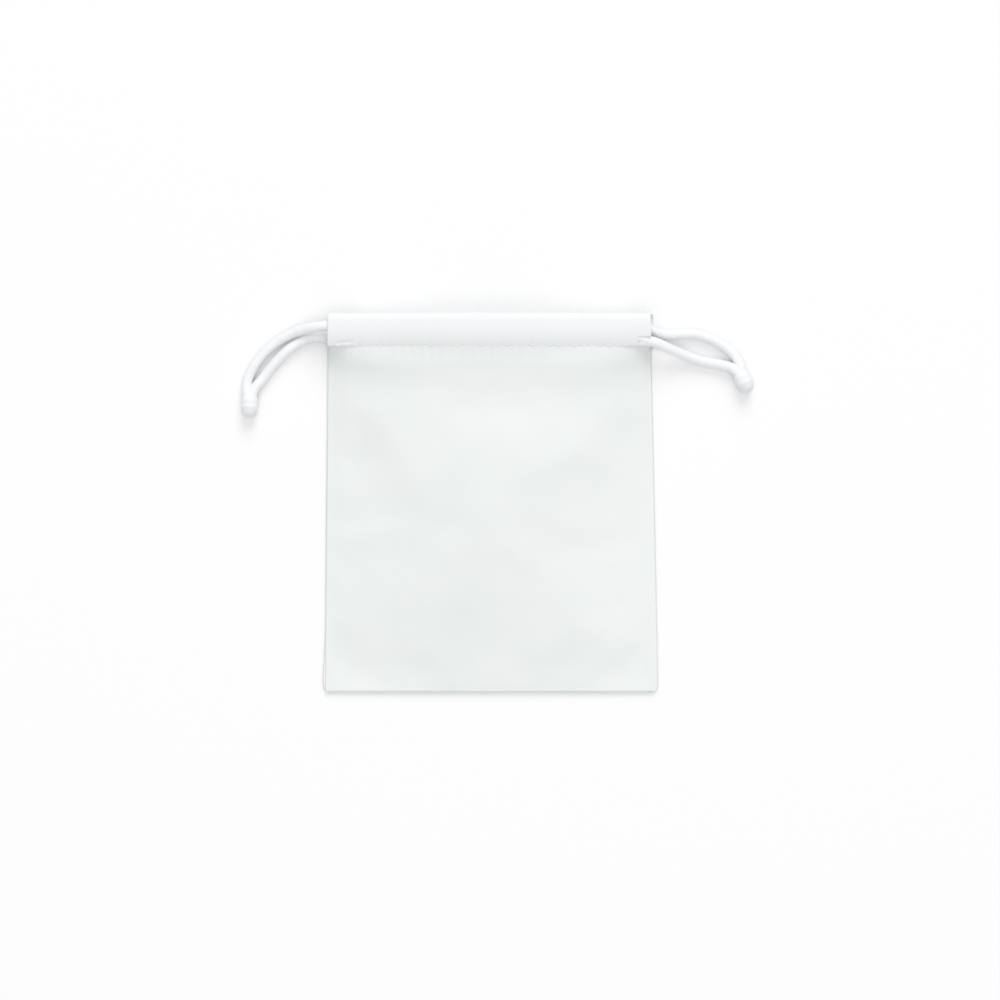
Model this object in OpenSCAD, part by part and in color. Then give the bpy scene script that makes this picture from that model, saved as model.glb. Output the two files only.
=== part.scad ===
// Drawstring gift pouch, lying flat on its back panel with the mouth towards +Y.
// Millimetres. X is across the pouch, Y runs from the bottom seam to the mouth, Z is up.
// The origin is the middle of the outline, on the surface that the pouch lies on.

/* [Pouch] */
// Width across the mouth
mouth_w = 100; // [95:1:120]
// Width across the bottom seam
bottom_w = 103; // [100:1:125]
// Height from the bottom seam to the top fold
pouch_h = 117; // [110:1:150]
// Height of the drawstring casing
casing_h = 10; // [10:0.5:14]
// Thickness of one layer of cloth
cloth_t = 0.6; // [0.5:0.1:0.8]
// Width of the stitched side and bottom seams
seam_w = 1.7; // [1.2:0.1:2.5]
// Room for a hand between the two casings, at the middle of the mouth
mouth_gap = 4.5; // [4.5:0.5:8]

/* [Drawcords] */
// Diameter of the cord
cord_d = 3; // [2.6:0.1:3]
// Length of the open slit at each end of the casing
slit_len = 8.5; // [8:0.5:10]
// Diameter of the fused knot at the end of each cord
tip_d = 5.2; // [4.6:0.1:5.4]
// Length of that knot
tip_len = 6.6; // [6:0.2:8]

/* [Stitching] */
// Length of one stitch
stitch_len = 2.2; // [1.5:0.1:2.4]
// Distance from one stitch to the next
stitch_pitch = 3; // [2.6:0.1:4]

/* [Hidden] */
$fn = 48;

cloth_colour = [0.94, 0.95, 0.945];
hem_colour = [0.955, 0.955, 0.96];
thread_colour = [0.9, 0.9, 0.9];
cord_colour = [0.97, 0.97, 0.97];

gap = 0.3;                        // air between the front, which lifts, and the rest
wall = 0.4;                       // cloth round the casing's tunnel
top_y = pouch_h / 2;
hem_y = top_y - casing_h;         // lower edge of the casing
stitch_gap = 0.6;                 // strip between casing and panel that the stitches cross
panel_top_y = hem_y - stitch_gap;
bottom_y = -pouch_h / 2;
fold_y = bottom_y + 1.5;          // lower edge of the front panel
tunnel_h = cord_d + 0.4;
casing_t = tunnel_h + 2 * wall;
edge_z = cloth_t + gap;           // underside of the front panel along its seams
edge_inset = seam_w + gap;        // from the outline to the front panel's edge

back_cord_z = casing_t / 2;
slit_cord_z = back_cord_z + casing_t + gap;   // front strands where they leave the slits
rise = casing_t + mouth_gap - edge_z;         // how far the front bulges at the mouth
fold_bow = 0.02;                              // the part of that bulge that is left at the fold
low_lane_y = hem_y + 2.2;
high_lane_y = low_lane_y + 4.2;
tunnel_low_y = low_lane_y - cord_d / 2 - 0.1;
tunnel_high_y = top_y - 0.6;
slit_x = mouth_w / 2 - slit_len;              // where the slit's open end zone begins
front_end_x = slit_x - gap;

// Half the width of the outline at a height y.
function half_w(y) = mouth_w / 2 + (bottom_w - mouth_w) / 2 * (top_y - y) / pouch_h;
// How far the front stands off across the width (1 in the middle, 0 at the seams).
function across(x, half) = 1 - pow(abs(x) / half, 4);
// The same along the height, from the fold at the bottom to 1 at the casing. The cloth bows a little
// even at the fold.
function along(y) = fold_bow + (1 - fold_bow) * sin(90 * min(1, (y - fold_y) / (panel_top_y - fold_y)));
// Underside of the front at x, y.
function under_z(x, y) =
    edge_z + rise * along(y) * across(x, half_w(min(y, panel_top_y)) - edge_inset);
// Middle of the front casing's tunnel at x.
function front_cord_z(x) = under_z(x, hem_y) + casing_t / 2;

function unit(v) = v / norm(v);
function direction(p, i) =
    unit(p[min(i + 1, len(p) - 1)] - p[max(i - 1, 0)]);
// A ring of n points of radius r round p, square to t; flat is a direction square to the ring's first spoke.
function ring(p, t, r, n, flat) =
    let (s = unit(cross(t, flat)), u = cross(s, t))
    [for (k = [0:n - 1]) p + r * cos(360 * k / n) * s + r * sin(360 * k / n) * u];

// A closed solid through a list of rings that all have the same number of points.
module loft(rings) {
    n = len(rings[0]);
    last = len(rings) - 1;
    polyhedron(
        points = [for (r = rings) each r],
        faces = [
            [for (k = [n - 1:-1:0]) k],
            [for (k = [0:n - 1]) last * n + k],
            for (i = [0:last - 1], k = [0:n - 1])
                each let (a = i * n + k, b = i * n + (k + 1) % n) [[a, b, b + n], [a, b + n, a + n]]
        ],
        convexity = 6
    );
}

// A length of cord along a route of points.
module cord(route, flat = [0, 0, 1]) {
    color(cord_colour)
        loft([for (i = [0:len(route) - 1]) ring(route[i], direction(route, i), cord_d / 2, 8, flat)]);
}

// Outline of a casing section in Y and Z, with round corners.
function section(y0, y1, z0, z1, r, n = 4) =
    [for (c = [[y1 - r, z1 - r, 0], [y0 + r, z1 - r, 90], [y0 + r, z0 + r, 180], [y1 - r, z0 + r, 270]],
        k = [0:n]) [c[0] + r * cos(c[2] + 90 * k / n), c[1] + r * sin(c[2] + 90 * k / n)]];

// The section carried straight along X.
module straight(x0, x1, outline) {
    translate([x0, 0, 0]) rotate([90, 0, 90]) linear_extrude(x1 - x0) polygon(outline);
}

// The section carried along X over the front's bulge.
module arched(x0, x1, outline, steps = 24) {
    loft([for (i = [0:steps]) let (x = x0 + (x1 - x0) * i / steps)
        [for (k = [len(outline) - 1:-1:0]) [x, outline[k][0], outline[k][1] + under_z(x, hem_y)]]]);
}

outer_section = section(hem_y, top_y, 0, casing_t, 2);
tunnel_section = section(tunnel_low_y, tunnel_high_y, wall, casing_t - wall, tunnel_h / 2 - 0.1);

// The back half, from the bottom seam to its casing. Its underside is flat.
module back_panel() {
    color(cloth_colour) linear_extrude(cloth_t) polygon([
        [-half_w(bottom_y), bottom_y], [half_w(bottom_y), bottom_y],
        [half_w(panel_top_y), panel_top_y], [-half_w(panel_top_y), panel_top_y]
    ]);
}

// The front half, a thin shell that stands off the back between its seams.
module front_panel(columns = 16, rows = 12) {
    xs = [for (i = [0:columns]) -cos(180 * i / columns)];
    color(cloth_colour) loft([
        for (j = [0:rows])
            let (y = fold_y + (panel_top_y - fold_y) * j / rows, half = half_w(y) - edge_inset)
            concat(
                [for (i = [0:columns]) [half * xs[i], y, under_z(half * xs[i], y)]],
                [for (i = [columns:-1:0]) [half * xs[i], y, under_z(half * xs[i], y) + cloth_t]]
            )
    ]);
}

// The back's turned hem. At the slits it is a gutter, so that the cords can turn up to the front.
module back_casing() {
    color(hem_colour) difference() {
        straight(-mouth_w / 2, mouth_w / 2, outer_section);
        straight(-mouth_w, mouth_w, tunnel_section);
        for (side = [-1, 1])
            translate([side > 0 ? slit_x : -mouth_w, tunnel_low_y, casing_t / 2])
                cube([mouth_w - slit_x, tunnel_high_y - tunnel_low_y, casing_t]);
    }
}

// The front's turned hem between the two slits. It lifts with the front panel.
module front_casing() {
    color(hem_colour) difference() {
        arched(-front_end_x, front_end_x, outer_section);
        arched(-front_end_x - 1, front_end_x + 1, tunnel_section);
    }
}

// The front hem's last stretch at a slit. It is held by the side seam and stays down.
module slit_facing(side) {
    color(hem_colour) difference() {
        translate([0, 0, casing_t])
            straight(side > 0 ? slit_x : -mouth_w / 2, side > 0 ? mouth_w / 2 : -slit_x,
                section(hem_y, top_y, 0, casing_t + gap, 2));
        translate([side > 0 ? slit_x - 1 : -mouth_w, tunnel_low_y, 0])
            cube([mouth_w - slit_x + 1, tunnel_high_y - tunnel_low_y, slit_cord_z]);
        translate([0, 0, casing_t + gap]) straight(-mouth_w, mouth_w, tunnel_section);
        if (side > 0) slit_notch();
    }
}
// The right slit gapes at its lower corner, where a strand shows.
module slit_notch() {
    translate([slit_x + 2.5, hem_y - 1, casing_t - 1]) cube([slit_len, 4, 3 * casing_t]);
}

module left_slit_facing() { slit_facing(-1); }
module right_slit_facing() { slit_facing(1); }

// The stitched edge that holds the front and the back together along one side.
module side_seam(side) {
    color(cloth_colour) translate([0, 0, cloth_t]) linear_extrude(edge_z) polygon([
        [side * half_w(bottom_y), bottom_y], [side * half_w(panel_top_y), panel_top_y],
        [side * (half_w(panel_top_y) - seam_w), panel_top_y],
        [side * (half_w(bottom_y) - seam_w), bottom_y]
    ]);
}
module left_side_seam() { side_seam(-1); }
module right_side_seam() { side_seam(1); }

// The stitched edge along the bottom, between the side seams. The front hinges on it.
module bottom_seam() {
    seam_top_y = fold_y - gap;
    color(cloth_colour) translate([0, 0, cloth_t]) linear_extrude(edge_z) polygon([
        [-half_w(bottom_y) + seam_w, bottom_y], [half_w(bottom_y) - seam_w, bottom_y],
        [half_w(seam_top_y) - seam_w, seam_top_y], [-half_w(seam_top_y) + seam_w, seam_top_y]
    ]);
}

// A row of stitches across the strip between panel and casing, from -end_x to end_x.
module stitch_row(end_x, follow) {
    count = floor((2 * end_x - stitch_len) / stitch_pitch);
    for (i = [0:count]) {
        x = (i - count / 2) * stitch_pitch;
        z = follow ? under_z(x, hem_y) : 0;
        tilt = follow ? atan((under_z(x + 1, hem_y) - under_z(x - 1, hem_y)) / 2) : 0;
        color(thread_colour) translate([x, panel_top_y + 0.05, z]) rotate([0, -tilt, 0])
            translate([-stitch_len / 2, 0, 0]) cube([stitch_len, stitch_gap - 0.1, cloth_t]);
    }
}
module back_casing_stitching() { stitch_row(mouth_w / 2 - 1, false); }
module front_casing_stitching() { stitch_row(front_end_x - 1, true); }

// A short block of close stitches that ends the side seam below a slit.
module slit_bartack(side, bars = 5) {
    for (i = [0:bars - 1])
        color(thread_colour)
            translate([side * (half_w(panel_top_y) - seam_w / 2), panel_top_y - 0.4 - 0.7 * i,
                cloth_t + edge_z + 0.15])
                cube([seam_w - 0.1, 0.4, 0.3], center = true);
}
module left_slit_bartack() { slit_bartack(-1); }
module right_slit_bartack() { slit_bartack(1); }

// Each cord is one closed loop: knot, front strand, front tunnel, a turn at the far slit, back
// tunnel, back strand and knot again. It is cut into lengths only where the joints need it.
// Free strands, from inside the slit to the knot.
left_front_route = [[-42.5, 54.9, 6.6], [-46, 54.9, 6.6], [-50, 54.8, 6.5], [-53, 54.6, 5.9],
    [-56, 54.2, 4.8], [-59, 53.5, 3.4], [-62, 52.5, 2.3], [-65, 51, 1.7], [-68, 48.9, 1.5],
    [-70.8, 46.2, 1.5], [-73.2, 43, 1.5], [-75.1, 39.4, 1.6], [-76.2, 36, 2.1], [-76.3, 34, 2.6],
    [-76.3, 33.2, 2.6]];
left_back_route = [[-42.5, 50.7, 2.1], [-46, 50.7, 2.1], [-50, 51.2, 2], [-54, 51.5, 1.7],
    [-57.2, 50.9, 1.5], [-60.4, 49.3, 1.5], [-63.3, 47.3, 1.5], [-66, 44.7, 1.5], [-68.6, 41.7, 1.5],
    [-70.8, 38.7, 1.6], [-72.6, 36, 2.1], [-73.2, 34, 2.6], [-73.2, 33.2, 2.6]];
right_front_route = [[42.5, 50.7, 6.6], [46, 50.6, 6.6], [50, 49.8, 6.3], [53, 48.6, 5.5],
    [56, 47.3, 4.3], [59, 46.2, 3.1], [62, 45.1, 2.1], [65, 44.2, 1.6], [68, 43.6, 1.5],
    [71, 43, 1.7], [73.6, 41.9, 2.2], [75, 40.5, 2.6], [75.3, 39.8, 2.6]];
right_back_route = [[42.5, 54.9, 2.1], [46, 54.9, 2.1], [48.5, 54.2, 2.1], [51, 53, 1.9],
    [54, 52.4, 1.6], [57, 52.4, 1.5], [60, 52.6, 1.5], [63, 52.4, 1.5], [66, 51.7, 1.5],
    [69, 50.5, 1.5], [72, 48.7, 1.5], [74.8, 46.3, 1.6], [77, 43.6, 2.1], [77.9, 41.7, 2.6],
    [78.2, 41, 2.6]];

module left_cord_front_strand() { cord(left_front_route); }
module left_cord_back_strand() { cord(left_back_route); }
module right_cord_front_strand() { cord(right_front_route); }
module right_cord_back_strand() { cord(right_back_route); }

// The two ends of a cord, fused into one short round-nosed knot. at is the middle of the face
// that the strands meet, and turn is how far the knot turns from -Y.
module cord_knot(at, turn) {
    nose_r = 2.2;
    color(cord_colour) translate([at[0], at[1], tip_d / 2]) rotate([90, 0, turn]) rotate_extrude()
        polygon(concat(
            [[0, 0], [tip_d / 2, 0]],
            [for (a = [0:15:90]) [tip_d / 2 - nose_r + nose_r * cos(a), tip_len - nose_r + nose_r * sin(a)]],
            [[0, tip_len]]
        ));
}
left_knot_at = [-74.75, 33.15];
right_knot_at = [76.8, 40.35];
right_knot_turn = 23;
module left_cord_knot() { cord_knot(left_knot_at, 0); }
module right_cord_knot() { cord_knot(right_knot_at, right_knot_turn); }

// The strand in the front tunnel, over the bulge.
module front_inner(y, steps = 16) {
    end_x = front_end_x - 0.4;  // its sloping end faces stay clear of the turns
    cord([for (i = [0:steps]) let (x = end_x * (2 * i / steps - 1)) [x, y, front_cord_z(x)]]);
}
module left_cord_front_inner() { front_inner(high_lane_y); }
module right_cord_front_inner() { front_inner(low_lane_y); }

// The strand in the back tunnel, straight across.
module back_inner(y) {
    color(cord_colour) translate([-slit_x, y, back_cord_z]) rotate([0, 90, 0])
        cylinder(h = 2 * slit_x, d = cord_d);
}
module left_cord_back_inner() { back_inner(low_lane_y); }
module right_cord_back_inner() { back_inner(high_lane_y); }

// The turn at the slit, from the front tunnel down to the other lane of the back tunnel.
module cord_turn(side, front_y, back_y, steps = 10) {
    front_end = [side * slit_x, front_y, slit_cord_z];
    back_end = [side * slit_x, back_y, back_cord_z];
    middle = (front_end + back_end) / 2 + [side * 1.1, 0, 0];
    spoke = (front_end - back_end) / 2;
    cord(concat([front_end],
        [for (i = [0:steps]) middle + cos(180 * i / steps) * spoke
            + [side * norm(spoke) * sin(180 * i / steps), 0, 0]],
        [back_end]), flat = unit(cross([1, 0, 0], spoke)));
}
module left_cord_turn() { cord_turn(1, high_lane_y, low_lane_y); }
module right_cord_turn() { cord_turn(-1, low_lane_y, high_lane_y); }

back_panel();
front_panel();
back_casing();
front_casing();
left_slit_facing();
right_slit_facing();
left_side_seam();
right_side_seam();
bottom_seam();
back_casing_stitching();
front_casing_stitching();
left_slit_bartack();
right_slit_bartack();
left_cord_front_strand();
left_cord_back_strand();
left_cord_knot();
left_cord_front_inner();
left_cord_back_inner();
left_cord_turn();
right_cord_front_strand();
right_cord_back_strand();
right_cord_knot();
right_cord_front_inner();
right_cord_back_inner();
right_cord_turn();
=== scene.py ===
"""A flat white drawstring gift pouch: cloth, hems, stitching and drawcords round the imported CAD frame."""
import math
import bmesh
import bpy
import numpy as np
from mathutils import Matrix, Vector


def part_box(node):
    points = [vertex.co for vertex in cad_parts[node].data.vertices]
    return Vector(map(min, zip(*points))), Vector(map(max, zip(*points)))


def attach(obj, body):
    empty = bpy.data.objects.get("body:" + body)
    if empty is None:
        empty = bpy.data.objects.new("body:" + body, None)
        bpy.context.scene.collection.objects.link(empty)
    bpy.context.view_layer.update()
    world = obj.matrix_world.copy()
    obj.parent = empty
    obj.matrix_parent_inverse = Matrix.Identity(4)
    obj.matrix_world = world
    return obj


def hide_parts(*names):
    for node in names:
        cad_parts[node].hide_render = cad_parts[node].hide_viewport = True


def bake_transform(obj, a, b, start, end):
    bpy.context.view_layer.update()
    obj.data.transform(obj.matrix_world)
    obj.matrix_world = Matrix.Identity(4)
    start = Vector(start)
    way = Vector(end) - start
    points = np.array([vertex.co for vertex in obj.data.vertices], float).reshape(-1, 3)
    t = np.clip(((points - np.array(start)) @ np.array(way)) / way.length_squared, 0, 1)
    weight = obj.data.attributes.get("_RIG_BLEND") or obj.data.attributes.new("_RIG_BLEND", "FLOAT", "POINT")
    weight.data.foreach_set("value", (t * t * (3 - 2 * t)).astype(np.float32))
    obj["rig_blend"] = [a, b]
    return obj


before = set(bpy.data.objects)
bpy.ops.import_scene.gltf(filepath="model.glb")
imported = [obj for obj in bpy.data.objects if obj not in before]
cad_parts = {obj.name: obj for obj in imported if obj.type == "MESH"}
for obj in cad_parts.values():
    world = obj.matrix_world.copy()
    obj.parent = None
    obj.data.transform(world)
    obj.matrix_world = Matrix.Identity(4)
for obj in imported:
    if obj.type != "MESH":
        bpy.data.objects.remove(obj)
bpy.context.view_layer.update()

# ---------------------------------------------------------------- sizes from the frame, in metres
MM = 0.001
panel_low, panel_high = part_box("back_panel")
hem_low, hem_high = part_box("back_casing")
front_hem_low, front_hem_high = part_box("front_casing")
cord_low, cord_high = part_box("left_cord_back_inner")

MOUTH_W = hem_high[0] - hem_low[0]
BOTTOM_W = panel_high[0] - panel_low[0]
BOTTOM_Y = panel_low[1]
TOP_Y = hem_high[1]
HEM_Y = hem_low[1]
POUCH_H = TOP_Y - BOTTOM_Y
CORD_R = (cord_high[2] - cord_low[2]) / 2
SLIT_X = front_hem_high[0]              # where the casing's closed part ends
BACK_CORD_Z = (cord_high[2] + cord_low[2]) / 2
CREST_CORD_Z = front_hem_high[2] - BACK_CORD_Z
SLIT_CORD_Z = front_hem_low[2] + BACK_CORD_Z
LOW_LANE_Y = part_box("left_cord_back_inner")[0][1] + CORD_R
HIGH_LANE_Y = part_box("right_cord_back_inner")[0][1] + CORD_R

CLOTH_T = 0.45 * MM                     # one layer of cloth
LIE_Z = 0.3 * MM                        # middle of the back cloth where it lies flat
STITCH_RISE = 0.3 * MM                  # the front's stitch line lies this far above the cord's middle
CROWN = 1.9 * MM                        # the casing's cloth lies this far from the cord's middle
LOOSE_LANE_Y = LOW_LANE_Y + 1.1 * MM    # the lower cord rides up a little in the front casing
SEAM_Z = 0.85 * MM                      # where the front's edge meets the back's
CORNER_R = {-1: 1.3 * MM, 1: 2.6 * MM}  # roundness of the bottom corners, left and right
LEFT_OVER = 0.4 * MM                    # the front's left end passes the back's by this
RIGHT_SHORT = 1.1 * MM                  # and its right end stops short of the back's by this


def smooth(t):
    t = np.clip(t, 0.0, 1.0)
    return t * t * (3 - 2 * t)


def half_width(y, side):
    """From the middle to the outline. The right side leans a little more than the left."""
    down = (TOP_Y - y) / POUCH_H
    top = MOUTH_W / 2 + (LEFT_OVER if side < 0 else -RIGHT_SHORT)
    short = np.clip(1 - (y - BOTTOM_Y) / CORNER_R[side], 0, 1)
    corner = CORNER_R[side] * (1 - np.sqrt(1 - short ** 2))
    return top + (BOTTOM_W / 2 - top) * np.power(np.clip(down, 0, 1), 0.85) - corner


def outline_x(u, y):
    """Places across the pouch at height y, for u from -1 at the left edge to 1 at the right edge."""
    return u * np.where(u < 0, half_width(y, -1), half_width(y, 1))


def front_cord_z(x):
    """Middle of the cords in the front casing, highest at the middle of the mouth."""
    flat, ramp = 5 * MM, 39 * MM
    share = 0.5 + 0.5 * np.cos(math.pi * np.clip((np.abs(x) - flat) / ramp, 0, 1))
    return SLIT_CORD_Z + (CREST_CORD_Z - SLIT_CORD_Z) * share


# ---------------------------------------------------------------- camera
PICTURE_W = 310 * MM
LENS = 120.0
SENSOR = 36.0
AIM = Vector((2.6 * MM, 1.1 * MM, 0.0))


def make_camera():
    data = bpy.data.cameras.new("camera")
    data.lens, data.sensor_width = LENS, SENSOR
    data.clip_start, data.clip_end = 0.01, 20
    camera = bpy.data.objects.new("camera", data)
    camera.location = AIM + Vector((0, 0, PICTURE_W * LENS / SENSOR))
    bpy.context.collection.objects.link(camera)
    bpy.context.scene.camera = camera


make_camera()


# ---------------------------------------------------------------- node helpers
def new_material(name):
    material = bpy.data.materials.new(name)
    material.use_nodes = True
    tree = material.node_tree
    tree.nodes.clear()
    output = tree.nodes.new("ShaderNodeOutputMaterial")
    shader = tree.nodes.new("ShaderNodeBsdfPrincipled")
    tree.links.new(shader.outputs[0], output.inputs[0])
    return material, tree, shader


def math_node(tree, operation, *values):
    node = tree.nodes.new("ShaderNodeMath")
    node.operation = operation
    for socket, value in zip(node.inputs, values):
        if isinstance(value, (int, float)):
            socket.default_value = value
        else:
            tree.links.new(value, socket)
    return node.outputs[0]


def noise(tree, vector, scale, detail=2.0, roughness=0.5):
    node = tree.nodes.new("ShaderNodeTexNoise")
    node.inputs["Scale"].default_value = scale
    node.inputs["Detail"].default_value = detail
    node.inputs["Roughness"].default_value = roughness
    tree.links.new(vector, node.inputs["Vector"])
    return node.outputs["Fac"]


def ramp(tree, factor, stops):
    node = tree.nodes.new("ShaderNodeValToRGB")
    while len(node.color_ramp.elements) < len(stops):
        node.color_ramp.elements.new(0.5)
    for element, (place, colour) in zip(node.color_ramp.elements, stops):
        element.position = place
        element.color = (*colour, 1)
    tree.links.new(factor, node.inputs[0])
    return node.outputs[0]


def mix(tree, factor, a, b, blend="MIX"):
    node = tree.nodes.new("ShaderNodeMix")
    node.data_type, node.blend_type = "RGBA", blend
    for socket, value in ((node.inputs[0], factor), (node.inputs[6], a), (node.inputs[7], b)):
        if isinstance(value, (int, float)):
            socket.default_value = value
        elif isinstance(value, tuple):
            socket.default_value = (*value, 1)
        else:
            tree.links.new(value, socket)
    return node.outputs[2]


def bump(tree, height, distance, strength, normal=None):
    node = tree.nodes.new("ShaderNodeBump")
    node.inputs["Distance"].default_value = distance
    node.inputs["Strength"].default_value = strength
    tree.links.new(height, node.inputs["Height"])
    if normal is not None:
        tree.links.new(normal, node.inputs["Normal"])
    return node.outputs[0]


# ---------------------------------------------------------------- materials
def weave_height(tree, uv, pitch):
    """Plain weave: threads that pass over and under each other, as bumps on a chequer."""
    split = tree.nodes.new("ShaderNodeSeparateXYZ")
    tree.links.new(uv, split.inputs[0])
    turns = 2 * math.pi / pitch
    across = math_node(tree, "SINE", math_node(tree, "MULTIPLY", split.outputs[0], turns))
    along = math_node(tree, "SINE", math_node(tree, "MULTIPLY", split.outputs[1], turns))
    return math_node(tree, "MULTIPLY", across, along)


def painted_shade_below_hem(tree, place):
    """Painted shade: the cloth's colour is darkened in a band just below the hem, standing in for the shade
    under the casing.
    """
    split = tree.nodes.new("ShaderNodeSeparateXYZ")
    tree.links.new(place, split.inputs[0])
    reach = 9 * MM
    near = math_node(tree, "MULTIPLY_ADD", split.outputs[1], 1 / reach, 1 - HEM_Y / reach)
    return ramp(tree, near, [(0.0, (1, 1, 1)), (0.8, (0.955, 0.958, 0.962)),
                             (0.985, (0.955, 0.958, 0.962)), (1.0, (1, 1, 1))])


def cloth_material(name, base, tint, pitch):
    material, tree, shader = new_material(name)
    uv = tree.nodes.new("ShaderNodeUVMap")
    uv.uv_map = "cloth"
    place = tree.nodes.new("ShaderNodeTexCoord").outputs["Object"]
    blotch = noise(tree, place, 34, 3, 0.55)
    fibre = noise(tree, uv.outputs[0], 2600, 4, 0.65)
    slub = noise(tree, uv.outputs[0], 420, 2, 0.5)
    weave = weave_height(tree, uv.outputs[0], pitch)
    colour = ramp(tree, blotch, [(0.38, tint), (0.62, base)])
    threads = math_node(tree, "MULTIPLY_ADD", weave, 0.014, 1.0)
    specks = math_node(tree, "MULTIPLY_ADD", fibre, 0.05, 0.975)
    shade = math_node(tree, "MULTIPLY", threads, specks)
    colour = mix(tree, 1.0, colour, shade, "MULTIPLY")
    # Painted shade: darken the band just below the hem.
    colour = mix(tree, 1.0, colour, painted_shade_below_hem(tree, place), "MULTIPLY")
    tree.links.new(colour, shader.inputs["Base Color"])
    rough = math_node(tree, "MULTIPLY_ADD", fibre, 0.12, 0.76)
    tree.links.new(rough, shader.inputs["Roughness"])
    shader.inputs["Specular IOR Level"].default_value = 0.25
    shader.inputs["Sheen Weight"].default_value = 0.12
    shader.inputs["Sheen Roughness"].default_value = 0.45
    soft = bump(tree, slub, 0.00006, 0.35)
    fine = bump(tree, fibre, 0.00003, 0.35, soft)
    tree.links.new(bump(tree, weave, 0.00005, 0.45, fine), shader.inputs["Normal"])
    return material


def cord_material(name, tone):
    """Soft braid: the relief is in the mesh, and this adds the fibres of each carrier."""
    material, tree, shader = new_material(name)
    uv = tree.nodes.new("ShaderNodeUVMap")
    uv.uv_map = "cloth"
    fibre = noise(tree, uv.outputs[0], 3200, 4, 0.7)
    worn = noise(tree, uv.outputs[0], 260, 2, 0.5)
    light = np.array((0.865, 0.875, 0.888)) * tone
    colour = ramp(tree, worn, [(0.35, light * 0.965), (0.65, light)])
    shade = math_node(tree, "MULTIPLY_ADD", fibre, 0.07, 0.965)
    tree.links.new(mix(tree, 1.0, colour, shade, "MULTIPLY"), shader.inputs["Base Color"])
    rough = math_node(tree, "MULTIPLY_ADD", fibre, 0.15, 0.5)
    tree.links.new(rough, shader.inputs["Roughness"])
    shader.inputs["Sheen Weight"].default_value = 0.2
    shader.inputs["Sheen Roughness"].default_value = 0.4
    shader.inputs["Specular IOR Level"].default_value = 0.4
    tree.links.new(bump(tree, fibre, 0.00004, 0.4), shader.inputs["Normal"])
    return material


def thread_material():
    material, tree, shader = new_material("sewing_thread")
    place = tree.nodes.new("ShaderNodeTexCoord").outputs["Object"]
    ply = noise(tree, place, 5200, 3, 0.6)
    colour = ramp(tree, ply, [(0.3, (0.78, 0.8, 0.8)), (0.7, (0.87, 0.88, 0.88))])
    tree.links.new(colour, shader.inputs["Base Color"])
    shader.inputs["Roughness"].default_value = 0.55
    shader.inputs["Sheen Weight"].default_value = 0.15
    tree.links.new(bump(tree, ply, 0.00003, 0.5), shader.inputs["Normal"])
    return material


def floor_material():
    material, tree, shader = new_material("studio_floor")
    place = tree.nodes.new("ShaderNodeTexCoord").outputs["Object"]
    grain = noise(tree, place, 900, 3, 0.5)
    colour = ramp(tree, grain, [(0.3, (0.9, 0.9, 0.9)), (0.7, (0.91, 0.91, 0.91))])
    tree.links.new(colour, shader.inputs["Base Color"])
    shader.inputs["Roughness"].default_value = 0.9
    shader.inputs["Specular IOR Level"].default_value = 0.0
    return material


SINGLE_TONES = ((0.818, 0.842, 0.836), (0.797, 0.831, 0.819))
# Lighter than the single cloth: partly the double layer, partly painted light on the raised casings.
DOUBLE_LAYER_AND_PAINTED_LIGHT_TONES = ((0.85, 0.857, 0.867), (0.835, 0.85, 0.855))
WEAVE_PITCH = 0.42 * MM

CLOTH = cloth_material("pouch_cloth", *SINGLE_TONES, WEAVE_PITCH)
HEM_CLOTH_WITH_PAINTED_LIGHT = cloth_material("hem_cloth_painted_light", *DOUBLE_LAYER_AND_PAINTED_LIGHT_TONES, WEAVE_PITCH)
BACK_CLOTH = cloth_material("back_cloth", *SINGLE_TONES, WEAVE_PITCH)
CORD = cord_material("braided_cord", 1.0)
# Painted shade: a darker copy of the cord for the knots' noses.
KNOT_NOSE_PAINTED_SHADE = cord_material("cord_with_painted_shade", 0.91)
THREAD = thread_material()


# ---------------------------------------------------------------- mesh helpers
def link(name, mesh, material):
    piece = bpy.data.objects.new(name, mesh)
    bpy.context.collection.objects.link(piece)
    mesh.materials.append(material)
    mesh.shade_smooth()
    return piece


def grid_mesh(name, points, uv, material, keep=None, closed=False):
    """A sheet through a (rows, columns, 3) array. keep says which cells stay, and closed joins the columns
    into a tube."""
    rows, columns = points.shape[:2]
    last = columns if closed else columns - 1
    faces, corners = [], []
    for r in range(rows - 1):
        for c in range(last):
            if keep is not None and not keep[r, c]:
                continue
            d = (c + 1) % columns
            faces.append((r * columns + c, r * columns + d, (r + 1) * columns + d, (r + 1) * columns + c))
            corners.extend(((r, c), (r, c + 1), (r + 1, c + 1), (r + 1, c)))
    mesh = bpy.data.meshes.new(name)
    mesh.from_pydata(points.reshape(-1, 3).tolist(), [], faces)
    layer = mesh.uv_layers.new(name="cloth")
    layer.data.foreach_set("uv", np.array([uv(r, c) for r, c in corners], float).ravel())
    mesh.update()
    return link(name, mesh, material)


def apply_modifiers(piece):
    """Bakes a piece's modifiers into its mesh, and drops points that no face uses."""
    graph = bpy.context.evaluated_depsgraph_get()
    final = piece.evaluated_get(graph)
    mesh = bpy.data.meshes.new_from_object(final, preserve_all_data_layers=True, depsgraph=graph)
    piece.modifiers.clear()
    piece.data = mesh
    shape = bmesh.new()
    shape.from_mesh(mesh)
    loose = [v for v in shape.verts if not v.link_faces]
    bmesh.ops.delete(shape, geom=loose, context="VERTS")
    shape.to_mesh(mesh)
    shape.free()
    mesh.shade_smooth()


def points_of(piece):
    mesh = piece.data
    flat = np.zeros(len(mesh.vertices) * 3)
    mesh.vertices.foreach_get("co", flat)
    return flat.reshape(-1, 3)


def set_points(piece, points):
    piece.data.vertices.foreach_set("co", points.ravel())
    piece.data.update()


def distance_along(path):
    """Distance from the first point of a path to each of its points."""
    return np.concatenate([[0], np.cumsum(np.linalg.norm(np.diff(path, axis=0), axis=1))])


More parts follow.
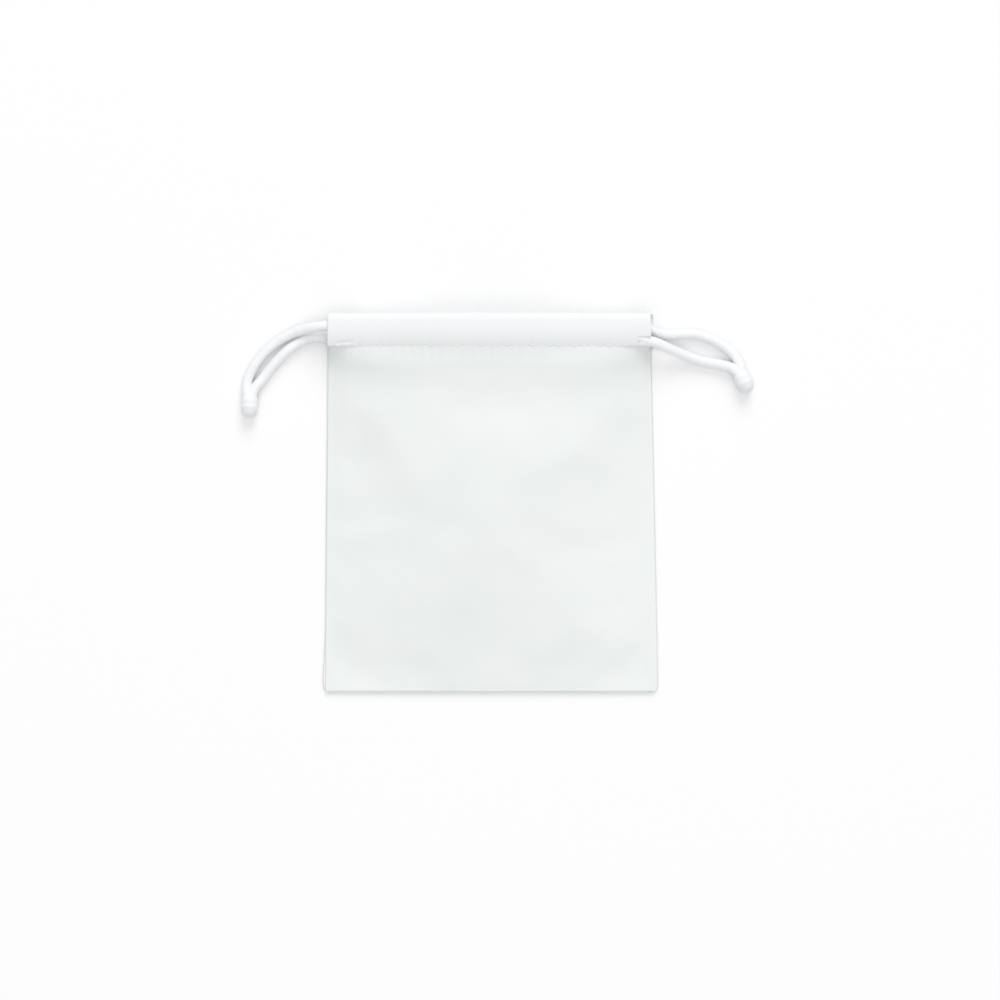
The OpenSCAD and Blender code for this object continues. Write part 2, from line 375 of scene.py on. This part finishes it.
def arch(piece):
    """The piece stays with the pouch at both side seams and follows the front at the middle."""
    weights = []
    for side in (-1, 1):
        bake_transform(piece, "pouch", "front", start=(side * MOUTH_W / 2, 0, 0), end=(0, 0, 0))
        values = np.zeros(len(piece.data.vertices), np.float32)
        piece.data.attributes["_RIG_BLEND"].data.foreach_get("value", values)
        weights.append(values)
    piece.data.attributes["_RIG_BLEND"].data.foreach_set("value", weights[0] * weights[1])


# ---------------------------------------------------------------- cords
def smooth_route(points, step):
    """A smooth curve through the points, with a ring every step."""
    p = np.array(points, float)
    p = np.vstack([2 * p[0] - p[1], p, 2 * p[-1] - p[-2]])
    out = []
    for i in range(1, len(p) - 2):
        count = max(2, int(np.linalg.norm(p[i + 1] - p[i]) / step))
        for k in range(count):
            t = k / count
            out.append(0.5 * (2 * p[i] + (p[i + 1] - p[i - 1]) * t
                              + (2 * p[i - 1] - 5 * p[i] + 4 * p[i + 1] - p[i + 2]) * t ** 2
                              + (3 * p[i] - p[i - 1] - 3 * p[i + 1] + p[i + 2]) * t ** 3))
    out.append(p[-2])
    return np.array(out)


def rings_along(path, radius, sides, relief=None):
    """Rings of points round a path. relief(angle, distance) scales each ring's radius."""
    along = np.gradient(path, axis=0)
    along /= np.linalg.norm(along, axis=1)[:, None]
    up = np.cross(along[0], (0.0, 1.0, 0.0))
    distance = distance_along(path)
    angles = 2 * math.pi * np.arange(sides) / sides
    rings = []
    for point, t, s in zip(path, along, distance):
        up = up - t * (up @ t)
        up /= np.linalg.norm(up)
        side = np.cross(t, up)
        r = radius * (relief(angles, s) if relief else np.ones(sides))
        rings.append(point + (r * np.cos(angles))[:, None] * up + (r * np.sin(angles))[:, None] * side)
    return np.array(rings), distance


def close_ends(piece):
    """Fills a tube's two open ends."""
    shape = bmesh.new()
    shape.from_mesh(piece.data)
    bmesh.ops.holes_fill(shape, edges=[e for e in shape.edges if e.is_boundary], sides=0)
    bmesh.ops.recalc_face_normals(shape, faces=shape.faces)
    shape.to_mesh(piece.data)
    shape.free()
    piece.data.shade_smooth()


PICKS = 6                 # raised picks round the cord
BRAID_PITCH = 8.4 * MM
BRAID_DEPTH = 0.028


def braid(angles, s):
    """Picks of a braid: two sets of carriers, wound opposite ways, are raised where they cross."""
    turn = 2 * math.pi * s / BRAID_PITCH
    return 1 + BRAID_DEPTH * (np.cos(PICKS * (angles + turn)) + np.cos(PICKS * (angles - turn))) / 2


def cord_tube(name, route, step=0.22 * MM, sides=40, meet=None, girth=1.03, lift=0.0):
    """A braided cord along a route. It starts lift further up the casing, and its last stretch draws in
    towards meet, where another strand joins it."""
    path = smooth_route(route, step)
    path[:, 1] += lift * smooth(1 - (np.abs(path[:, 0]) - SLIT_X) / (8 * MM))
    if meet is not None:
        left = np.linalg.norm(path - path[-1], axis=1)
        path += (np.array(meet) - path[-1]) * (0.55 * smooth(1 - left / (6 * MM)))[:, None]
    path[:, 2] = np.maximum(path[:, 2], CORD_R * girth * (1 + BRAID_DEPTH))
    points, distance = rings_along(path, CORD_R * girth, sides, braid)
    around = 2 * math.pi * CORD_R
    piece = grid_mesh(name, points, lambda r, c: (around * c / sides, distance[r]), CORD, closed=True)
    close_ends(piece)
    return piece, path


# The free strands' routes, in millimetres, as part.scad has them.
ROUTES = {
    "left_cord_front_strand": [
        (-42.5, 54.9, 6.6), (-46, 54.9, 6.6), (-50, 54.8, 6.5), (-53, 54.6, 5.9), (-56, 54.2, 4.8),
        (-59, 53.5, 3.4), (-62, 52.5, 2.3), (-65, 51, 1.7), (-68, 48.9, 1.5), (-70.8, 46.2, 1.5),
        (-73.2, 43, 1.5), (-75.1, 39.4, 1.6), (-76.2, 36, 2.1), (-76.3, 34, 2.6), (-76.3, 33.2, 2.6)],
    "left_cord_back_strand": [
        (-42.5, 50.7, 2.1), (-46, 50.7, 2.1), (-50, 51.2, 2), (-54, 51.5, 1.7), (-57.2, 50.9, 1.5),
        (-60.4, 49.3, 1.5), (-63.3, 47.3, 1.5), (-66, 44.7, 1.5), (-68.6, 41.7, 1.5), (-70.8, 38.7, 1.6),
        (-72.6, 36, 2.1), (-73.2, 34, 2.6), (-73.2, 33.2, 2.6)],
    "right_cord_front_strand": [
        (42.5, 50.7, 6.6), (46, 50.6, 6.6), (50, 49.8, 6.3), (53, 48.6, 5.5), (56, 47.3, 4.3),
        (59, 46.2, 3.1), (62, 45.1, 2.1), (65, 44.2, 1.6), (68, 43.6, 1.5), (71, 43, 1.7),
        (73.6, 41.9, 2.2), (75, 40.5, 2.6), (75.3, 39.8, 2.6)],
    "right_cord_back_strand": [
        (42.5, 54.9, 2.1), (46, 54.9, 2.1), (48.5, 54.2, 2.1), (51, 53, 1.9), (54, 52.4, 1.6),
        (57, 52.4, 1.5), (60, 52.6, 1.5), (63, 52.4, 1.5), (66, 51.7, 1.5), (69, 50.5, 1.5),
        (72, 48.7, 1.5), (74.8, 46.3, 1.6), (77, 43.6, 2.1), (77.9, 41.7, 2.6), (78.2, 41, 2.6)],
}


SHADED_NOSE_FROM = 0.66        # the knot's nose, darkened with painted shade, starts at this share of its length


def make_knot(name, start, direction, apart, radius, length):
    """The fused end of a cord: it swells from between the two strands into a barrel with a round nose."""
    rows, sides = 64, 48
    t = np.linspace(0, 1, rows)
    nose = np.clip(1 - np.clip((t - 0.62) / 0.38, 0, 1) ** 3.4, 0, 1) ** 0.45
    waist = 1 - 0.03 * np.exp(-((t - 0.55) / 0.05) ** 2)
    gather = smooth(t / 0.45)
    slim = CORD_R * 0.6
    wide = (slim + (radius * 0.95 - slim) * gather) * nose * waist
    tall = (slim + (radius * 0.93 - slim) * gather) * nose * waist
    axis = np.array(Vector(direction).normalized())
    rest = np.array((0.0, 0.0, 1.0))
    across = np.array(apart) - axis * (np.array(apart) @ axis)
    across /= np.linalg.norm(across)
    angles = 2 * math.pi * np.arange(sides) / sides
    points = np.zeros((rows, sides, 3))
    for r in range(rows):
        crease = 1 - 0.10 * (1 - smooth((t[r] - 0.2) / 0.5)) * np.abs(np.sin(angles)) ** 6
        fibres = 1 + 0.012 * np.cos(10 * angles + 20 * t[r]) * (1 - t[r])
        centre = np.array(start) + axis * length * t[r]
        points[r] = (centre + (wide[r] * crease * fibres * np.cos(angles))[:, None] * across
                     + (tall[r] * crease * fibres * np.sin(angles))[:, None] * rest)
    girth = 2 * math.pi * radius
    piece = grid_mesh(name, points, lambda r, c: (girth * c / sides, length * r / rows), CORD, closed=True)
    close_ends(piece)
    # Painted shade: the nose's faces take the darker copy of the cord.
    piece.data.materials.append(KNOT_NOSE_PAINTED_SHADE)
    for face in piece.data.polygons:
        reach = (np.array(face.center) - np.array(start)) @ axis
        face.material_index = int(reach > SHADED_NOSE_FROM * length)
    return piece


LEAD_LENGTH = 6.6 * MM


def make_lead(path):
    """The cord inside the right slit: hidden by the strand round it until the strand is drawn out."""
    within = path[path[:, 0] < SLIT_X + LEAD_LENGTH]
    lead, _ = cord_tube("right_front_lead", within, sides=24, girth=0.9)
    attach(lead, "pouch")


KNOT_LENGTH = 6.6 * MM    # from where the strands end
KNOT_OVERLAP = 3.0 * MM   # and back between them


def make_free_cords():
    """Each side's two strands and the knot that joins them."""
    for side in ("left", "right"):
        strands = {}
        names = {face: f"{side}_cord_{face}_strand" for face in ("front", "back")}
        meet = MM * (np.array(ROUTES[names["front"]][-1]) + np.array(ROUTES[names["back"]][-1])) / 2
        for face, name in names.items():
            route = [[MM * v for v in p] for p in ROUTES[name]]
            lift = LOOSE_LANE_Y - LOW_LANE_Y if name == "right_cord_front_strand" else 0.0
            strands[face] = cord_tube(f"{side}_{face}_strand", route, meet=meet, lift=lift)
            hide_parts(name)
        ends = [strands[face][1][-1] for face in ("front", "back")]
        arrive = sum(strands[face][1][-1] - strands[face][1][-6] for face in ("front", "back"))
        low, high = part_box(f"{side}_cord_knot")
        start = (ends[0] + ends[1]) / 2
        flat = Vector((arrive[0], arrive[1], 0)).normalized()
        tip_r = (high[2] - low[2]) / 2
        start = start - np.array(flat) * KNOT_OVERLAP
        knot = make_knot(f"{side}_knot", start, flat, ends[1] - ends[0], tip_r, KNOT_LENGTH + KNOT_OVERLAP)
        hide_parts(f"{side}_cord_knot")
        for piece in (knot, strands["front"][0], strands["back"][0]):
            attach(piece, f"{side}_drawcord")
        if side == "right":
            make_lead(strands["front"][1])
        for face, on_it in (("front", [knot]), ("back", [])):
            piece, path = strands[face]


make_free_cords()


SQUEEZE = 0.93            # cords are a little thinner where the casing presses them
HELD_POINTS = 60
BOW = 1.4 * MM            # how far a turn stands out past the slit


def held_cord(name, route, step):
    """A length of cord inside the casing, which stands for the CAD length of the same name."""
    side, place = name.split("_", 1)
    piece, _ = cord_tube(name, route, step=step, sides=24, girth=SQUEEZE)
    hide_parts(f"{side}_cord_{place}")
    return piece


def make_held_cords():
    """The stretches inside the casing, and the turns at the slits."""
    xs = np.linspace(-SLIT_X, SLIT_X, HELD_POINTS)
    lanes = (("left", 1, HIGH_LANE_Y, LOW_LANE_Y), ("right", -1, LOOSE_LANE_Y, HIGH_LANE_Y))
    for side, way, front_y, back_y in lanes:
        front_route = np.column_stack([xs, np.full(HELD_POINTS, front_y), front_cord_z(xs)])
        arch(held_cord(f"{side}_front_inner", front_route, 0.7 * MM))
        back_route = np.column_stack([xs, np.full(HELD_POINTS, back_y), np.full(HELD_POINTS, BACK_CORD_Z)])
        back = held_cord(f"{side}_back_inner", back_route, 0.7 * MM)
        start = np.array((way * SLIT_X, front_y, SLIT_CORD_Z))
        end = np.array((way * SLIT_X, back_y, BACK_CORD_Z))
        spoke = (start - end) / 2
        outwards = np.array((way, 0, 0))
        middle = (start + end) / 2 + BOW * outwards
        half_turn = [middle + math.cos(a) * spoke + math.sin(a) * np.linalg.norm(spoke) * outwards
                     for a in np.linspace(0, math.pi, 13)]
        turn = held_cord(f"{side}_turn", [start, *half_turn, end], 0.5 * MM)
        for piece in (back, turn):
            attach(piece, "pouch")


make_held_cords()


# ---------------------------------------------------------------- cloth
COLUMNS = 120
PANEL_ROWS = 116
HEM_ROWS = 26            # over the casing's outer face
TURN_ROWS = 18           # back along its inner face
HEM_MARGIN = 0.2 * MM    # from the stitch line to the casing's lower edge
CREST = 0.56             # where a casing is highest, as a share of its height
FACING = 0.8 * MM        # the casing's inner face ends this far past the slit


def section_of_hem(count, from_stitch, top_z, edge_z):
    """One face of a casing, as (y, z): a gentle arch from the stitch line to the rounder fold."""
    low, high = HEM_Y + HEM_MARGIN, TOP_Y
    t = 0.5 - 0.5 * np.cos(math.pi * np.arange(1, count + 1) / count)
    if not from_stitch:
        t = 1 - t
    past = np.clip((t - CREST) / (1 - CREST), 0, 1)
    up = np.sin(math.pi / 2 * np.clip(t / CREST, 0, 1)) ** 0.74
    rise = np.where(t < CREST, up, (1 - past ** 3.2) ** 0.55)
    base = edge_z * (1 - smooth(past))
    return low + (high - low) * t, base + (top_z - base) * rise


def loft_share(y):
    """How far the front stands off along the height, as the CAD front does."""
    return 0.02 + 0.98 * np.sin(math.pi / 2 * np.clip((y - BOTTOM_Y) / (HEM_Y - BOTTOM_Y), 0, 1))


SWELLS = (      # x, y, width, height and rise in millimetres
    (20, 15, 26, 9, 0.55), (-30, 30, 15, 8, 0.35), (-44, 14, 6, 4, -0.3), (-44, -5, 6, 4, -0.3),
    (-45, -20, 5, 4, -0.25), (42, -10, 8, 5, -0.25), (-12, -30, 14, 6, 0.25), (34, 38, 14, 4, 0.25))


def ripple(x, y):
    """Slow hollows and swells of cloth that has been folded and smoothed out again."""
    x, y = x / MM, y / MM
    total = 0.45 * np.tanh((y + 19 - 0.42 * x) / 9)
    for at_x, at_y, wide, tall, rise in SWELLS:
        total = total + rise * np.exp(-((x - at_x) / wide) ** 2 - ((y - at_y) / tall) ** 2)
    return total * MM


def bar_y(x):
    """Height on the front of the short bar of stitches across a slit's foot."""
    return HEM_Y + 1.8 * MM - 0.11 * (np.abs(x) - SLIT_X)


def pucker(x, y):
    """Short gathers that the hem's stitches pull into the cloth below them."""
    below = (HEM_Y - y) / MM
    fade = np.exp(-np.clip(below, 0, None) / 3.5) * np.exp(-np.clip(-below, 0, None) / 1.6)
    waves = (np.sin(x / MM * 2.05 + 0.6 * np.sin(x / MM * 0.31)) * 0.05
             + np.sin(x / MM * 0.83 + 1.1) * 0.08)
    bar = np.exp(-((bar_y(x) - y) / (0.45 * MM)) ** 2) * smooth((-x - SLIT_X - 1 * MM) / (1 * MM))
    return (waves * fade - 0.35 * bar) * MM


JOIN_H = 22 * MM         # over this height the front rises from its own loft to the hem


def front_points():
    """The front cloth from the bottom seam up, over the casing's outer face and back along its inner face."""
    u = np.linspace(-1, 1, COLUMNS + 1)
    z_cord = front_cord_z(u * MOUTH_W / 2)
    rise = CREST_CORD_Z - CROWN - SEAM_Z
    rows = []
    for y in np.linspace(BOTTOM_Y + 0.25 * MM, HEM_Y, PANEL_ROWS + 1):
        x = outline_x(u, y)
        near = np.clip((y - HEM_Y + JOIN_H) / JOIN_H, 0, 1)
        crown = SEAM_Z + rise * loft_share(y)
        crown = crown + (z_cord + STITCH_RISE - crown) * near ** 2.2
        z = SEAM_Z + (crown - SEAM_Z) * (1 - np.abs(u) ** (2.4 + 15 * near ** 5))
        rows.append(np.column_stack([x, np.full_like(x, y), z]))
    for count, outer in ((HEM_ROWS, True), (TURN_ROWS, False)):
        ys, zs = section_of_hem(count, outer, CROWN if outer else -CROWN, STITCH_RISE)
        for y, z in zip(ys, zs):
            rows.append(np.column_stack([outline_x(u, y), np.full_like(u, y), z_cord + z]))
    return np.array(rows)


SIM_FRAMES = 24
SOFTEN = 14              # passes of smoothing over how far the simulation moved each point
MOST_MOVE = 2.0 * MM
CALM_H = 30 * MM         # the simulation's moves fade out over this height below the hem


def relax_front(piece, pinned, rows, columns):
    """Cloth simulation of the panel between its seams and the hem: some spare cloth and a breath of air."""
    group = piece.vertex_groups.new(name="pinned")
    group.add([int(i) for i in np.flatnonzero(pinned)], 1.0, "REPLACE")
    before = points_of(piece)
    modifier = piece.modifiers.new("cloth", "CLOTH")
    settings = modifier.settings
    settings.quality = 6
    settings.mass = 0.12
    settings.tension_stiffness = settings.compression_stiffness = 12
    settings.shear_stiffness = 4
    settings.bending_stiffness = 2.0
    settings.air_damping = 3
    settings.vertex_group_mass = "pinned"
    settings.shrink_min = -0.004
    settings.use_pressure = True
    settings.uniform_pressure_force = 0.04
    settings.effector_weights.gravity = 0.0
    modifier.collision_settings.use_collision = False
    modifier.collision_settings.use_self_collision = False
    scene = bpy.context.scene
    scene.frame_start, scene.frame_end = 1, SIM_FRAMES
    modifier.point_cache.frame_start, modifier.point_cache.frame_end = 1, SIM_FRAMES
    for number in range(1, SIM_FRAMES + 1):
        scene.frame_set(number)
    evaluated = piece.evaluated_get(bpy.context.evaluated_depsgraph_get())
    after = np.array([v.co for v in evaluated.data.vertices])
    piece.modifiers.clear()
    piece.vertex_groups.clear()
    scene.frame_set(1)
    move = (after - before).reshape(rows, columns, 3)
    for _ in range(SOFTEN):
        move[1:-1] = 0.5 * move[1:-1] + 0.25 * (move[2:] + move[:-2])
        move[:, 1:-1] = 0.5 * move[:, 1:-1] + 0.25 * (move[:, 2:] + move[:, :-2])
    calm = (1 - pinned) * smooth((HEM_Y - before[:, 1]) / CALM_H)
    move = move.reshape(-1, 3) * calm[:, None]
    length = np.linalg.norm(move, axis=1)[:, None]
    set_points(piece, before + move * np.minimum(1, MOST_MOVE / np.maximum(length, 1e-9)))


NOTCH_X = SLIT_X + 4 * MM       # the right slit gapes from here to the edge
NOTCH_Y = HEM_Y + 1.8 * MM
NOTCH_HALF_H = 0.8 * MM


def front_cells(points):
    """Which cells of the front are cloth: all but the casing's inner face past the slits, and the notch."""
    x_mid = (points[:-1, :-1, 0] + points[1:, 1:, 0]) / 2
    y_mid = (points[:-1, :-1, 1] + points[1:, 1:, 1]) / 2
    row = np.arange(len(points) - 1)[:, None]
    inner = row >= PANEL_ROWS + HEM_ROWS
    outer_hem = (row >= PANEL_ROWS) & ~inner
    past_slit = inner & (np.abs(x_mid) > SLIT_X + FACING)
    notch = outer_hem & (x_mid > NOTCH_X) & (np.abs(y_mid - NOTCH_Y) < NOTCH_HALF_H)
    return ~past_slit & ~notch


def make_front():
    points = front_points()
    rows, columns = points.shape[:2]
    keep = front_cells(points)
    length = distance_along(points[:, columns // 2])
    piece = grid_mesh("front_cloth", points, lambda r, c: (points[0, min(c, columns - 1), 0], length[r]),
                      CLOTH, keep)
    ring = np.zeros((rows, columns), bool)
    ring[:2] = ring[PANEL_ROWS - 1:] = True
    ring[:, :2] = ring[:, -2:] = True
    relax_front(piece, ring.ravel(), rows, columns)
    subdivide = piece.modifiers.new("finer", "SUBSURF")
    subdivide.levels = subdivide.render_levels = 1
    apply_modifiers(piece)
    p = points_of(piece)
    edge = np.abs(p[:, 0]) / half_width(p[:, 1], 1)
    inside = smooth((1 - edge) / 0.12) * smooth((p[:, 1] - BOTTOM_Y) / (10 * MM))
    below = smooth((HEM_Y - p[:, 1]) / (6 * MM))
    p[:, 2] += ripple(p[:, 0], p[:, 1]) * inside * below
    p[:, 2] += pucker(p[:, 0], p[:, 1]) * smooth((1 - edge) / 0.05)
    set_points(piece, p)
    thicken(piece)
    two_layers_and_painted_light(piece)
    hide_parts("front_panel", "front_casing", "left_slit_facing", "right_slit_facing")
    arch(piece)


def thicken(piece):
    solid = piece.modifiers.new("thickness", "SOLIDIFY")
    solid.thickness = CLOTH_T
    solid.offset = 0
    apply_modifiers(piece)


def two_layers_and_painted_light(piece):
    """The turned hem is two layers, so less of the table's tone shows through it; its lighter colour is also
    painted light, standing in for the light on the raised casing's top.
    """
    piece.data.materials.append(HEM_CLOTH_WITH_PAINTED_LIGHT)
    for face in piece.data.polygons:
        face.material_index = int(face.center.y > HEM_Y + HEM_MARGIN)


BACK_STITCH_Z = 0.8 * MM
PEEK = 0.8 * MM          # the back shows past the front at the bottom left corner


def back_points():
    """The back cloth from the bottom seam up, under the back casing and back over it."""
    u = np.linspace(-1, 1, COLUMNS + 1)
    z_cord = np.full_like(u, BACK_CORD_Z)
    rows = []
    for y in np.linspace(BOTTOM_Y, HEM_Y, PANEL_ROWS // 2 + 1):
        corner = PEEK * smooth((BOTTOM_Y + 25 * MM - y) / (25 * MM)) * smooth((-u - 0.8) / 0.2)
        x = outline_x(u, y) - corner
        z = LIE_Z + (SEAM_Z - LIE_Z - 0.2 * MM) * smooth((np.abs(u) - 0.95) / 0.05)
        z = z + (BACK_STITCH_Z - LIE_Z) * smooth((y - HEM_Y + 5 * MM) / (5 * MM)) ** 2
        rows.append(np.column_stack([x, np.full_like(x, y), z]))
    for count, under in ((TURN_ROWS, True), (HEM_ROWS, False)):
        top = LIE_Z - BACK_CORD_Z if under else CROWN
        ys, zs = section_of_hem(count, under, top, BACK_STITCH_Z - BACK_CORD_Z)
        for y, z in zip(ys, zs):
            half = np.where(u < 0, half_width(y, -1), half_width(y, 1) + RIGHT_SHORT)
            rows.append(np.column_stack([u * half, np.full_like(u, y), z_cord + z]))
    return np.array(rows)


def make_back():
    points = back_points()
    rows, columns = points.shape[:2]
    x_mid = (points[:-1, :-1, 0] + points[1:, 1:, 0]) / 2
    row = np.arange(rows - 1)[:, None]
    inner = row >= PANEL_ROWS // 2 + TURN_ROWS
    keep = ~(inner & (np.abs(x_mid) > SLIT_X + FACING))
    length = distance_along(points[:, columns // 2])
    piece = grid_mesh("back_cloth", points, lambda r, c: (points[0, min(c, columns - 1), 0], length[r]),
                      BACK_CLOTH, keep)
    subdivide = piece.modifiers.new("finer", "SUBSURF")
    subdivide.levels = subdivide.render_levels = 1
    apply_modifiers(piece)
    thicken(piece)
    two_layers_and_painted_light(piece)
    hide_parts("back_panel", "back_casing")
    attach(piece, "pouch")


make_back()
make_front()


# ---------------------------------------------------------------- seams
WELT_R = 0.5 * MM
WELT_SIDES = 16
SEAM_STITCH = 2.6 * MM


def welt(name, route, node):
    """The turned edge of a seam: a flattened roll of cloth, drawn in a little at each stitch."""
    path = smooth_route(route, 0.35 * MM)

    def relief(angles, s):
        stitch = 0.5 + 0.5 * math.cos(2 * math.pi * s / SEAM_STITCH)
        flat = 1 / np.sqrt((np.cos(angles) / 0.8) ** 2 + np.sin(angles) ** 2)
        return flat * (1 - 0.10 * stitch)

    points, distance = rings_along(path, WELT_R, WELT_SIDES, relief)
    around = 3.1 * MM
    piece = grid_mesh(name, points, lambda r, c: (around * c / WELT_SIDES, distance[r]), CLOTH, closed=True)
    close_ends(piece)
    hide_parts(node)
    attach(piece, "pouch")


def seam_route(side):
    corner = BOTTOM_Y + CORNER_R[side] * np.array((0.12, 0.35, 0.65, 1.0))
    ys = np.concatenate([corner, np.linspace(BOTTOM_Y + 6 * MM, HEM_Y - 0.5 * MM, 18)])
    return [(side * (half_width(y, side) - 0.35 * MM), y, SEAM_Z - 0.1 * MM) for y in ys]


def make_seams():
    welt("left_seam", seam_route(-1), "left_side_seam")
    welt("right_seam", seam_route(1), "right_side_seam")
    left, right = half_width(BOTTOM_Y, -1), half_width(BOTTOM_Y, 1)
    xs = np.linspace(-left + 0.2 * MM, right - 0.2 * MM, 14)
    welt("bottom_welt", [(x, BOTTOM_Y + 0.2 * MM, SEAM_Z - 0.3 * MM) for x in xs], "bottom_seam")


make_seams()


# ---------------------------------------------------------------- stitching
THREAD_R = 0.14 * MM


def stitches(name, places, node):
    """Stitches as short bowed threads whose ends dive into the cloth. places holds (start, end) pairs."""
    verts, faces = [], []
    sides, steps = 8, 8
    t = np.linspace(0, 1, steps)[:, None]
    for start, end in places:
        path = np.array(start) * (1 - t) + np.array(end) * t
        path[:, 2] += 0.16 * MM * np.sin(math.pi * t[:, 0]) - 0.1 * MM
        rings, _ = rings_along(path, THREAD_R, sides)
        base = len(verts)
        verts.extend(rings.reshape(-1, 3).tolist())
        for r in range(steps - 1):
            a = base + r * sides
            for c in range(sides):
                d = (c + 1) % sides
                faces.append((a + c, a + d, a + sides + d, a + sides + c))
        last = base + (steps - 1) * sides
        faces.append(tuple(base + c for c in reversed(range(sides))))
        faces.append(tuple(last + c for c in range(sides)))
    mesh = bpy.data.meshes.new(name)
    mesh.from_pydata(verts, [], faces)
    mesh.update()
    piece = link(name, mesh, THREAD)
    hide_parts(node)
    return piece


def hem_surface(x, y):
    """Height of the front hem's outer face."""
    ys, zs = section_of_hem(HEM_ROWS, True, CROWN, STITCH_RISE)
    return front_cord_z(x) + np.interp(y, ys, zs)


PITCH, STITCH = 2.6 * MM, 1.7 * MM          # of the hems: from stitch to stitch, and each one's length
BAR_PITCH, BAR_STITCH = 1.75 * MM, 1.3 * MM  # of the bartacks
OVER = 0.22 * MM                             # a stitch stands this far above the cloth's middle


def make_hem_stitches():
    y = HEM_Y + HEM_MARGIN
    count = int((MOUTH_W - 3 * MM) / PITCH)
    starts = [(i - count / 2) * PITCH for i in range(count)]

    def pair(x, height):
        return (x, y, height(x, y) + OVER), (x + STITCH, y, height(x + STITCH, y) + OVER)

    front = [pair(x, hem_surface) for x in starts if x < SLIT_X + 1 * MM]
    arch(stitches("front_hem_stitches", front, "front_casing_stitching"))
    back = [pair(x, lambda at_x, at_y: BACK_STITCH_Z) for x in starts]
    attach(stitches("back_hem_stitches", back, "back_casing_stitching"), "pouch")


def make_bartacks():
    """Four stitches at each slit: across its foot on the left, and above its open corner on the right."""
    for side, name, rise in ((-1, "left", 0), (1, "right", 1.6 * MM)):
        bars = []
        for i in range(4):
            near = side * (SLIT_X + 1.3 * MM + BAR_PITCH * i)
            far = near + side * BAR_STITCH
            bars.append(tuple((x, bar_y(x) + rise, hem_surface(x, bar_y(x) + rise)) for x in (near, far)))
        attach(stitches(f"{name}_bartack", bars, f"{name}_slit_bartack"), "pouch")


make_hem_stitches()
make_bartacks()


# ---------------------------------------------------------------- floor and light
FLOOR_REACH = 3.0
WORLD_STRENGTH = 0.62
LIGHTS = (      # name, place, diameter, power
    ("key", (0.5, 3.3, 2.4), 2.7, 66.0),
    ("overhead", (0.0, -0.3, 2.2), 2.4, 17.0))


def make_floor():
    mesh = bpy.data.meshes.new("floor")
    corners = [(x * FLOOR_REACH, y * FLOOR_REACH, 0) for x, y in ((-1, -1), (1, -1), (1, 1), (-1, 1))]
    mesh.from_pydata(corners, [], [(0, 1, 2, 3)])
    link("floor", mesh, floor_material())


def make_light():
    world = bpy.data.worlds.new("studio")
    world.use_nodes = True
    background = world.node_tree.nodes["Background"]
    background.inputs[0].default_value = (1, 1, 1, 1)
    background.inputs[1].default_value = WORLD_STRENGTH
    bpy.context.scene.world = world
    for name, place, size, power in LIGHTS:
        data = bpy.data.lights.new(name, "AREA")
        data.shape, data.size, data.energy = "DISK", size, power
        light = bpy.data.objects.new(name, data)
        light.location = place
        light.rotation_euler = (-Vector(place)).to_track_quat("-Z", "Y").to_euler()
        bpy.context.collection.objects.link(light)
    bpy.context.scene.view_settings.view_transform = "Standard"


make_floor()
make_light()
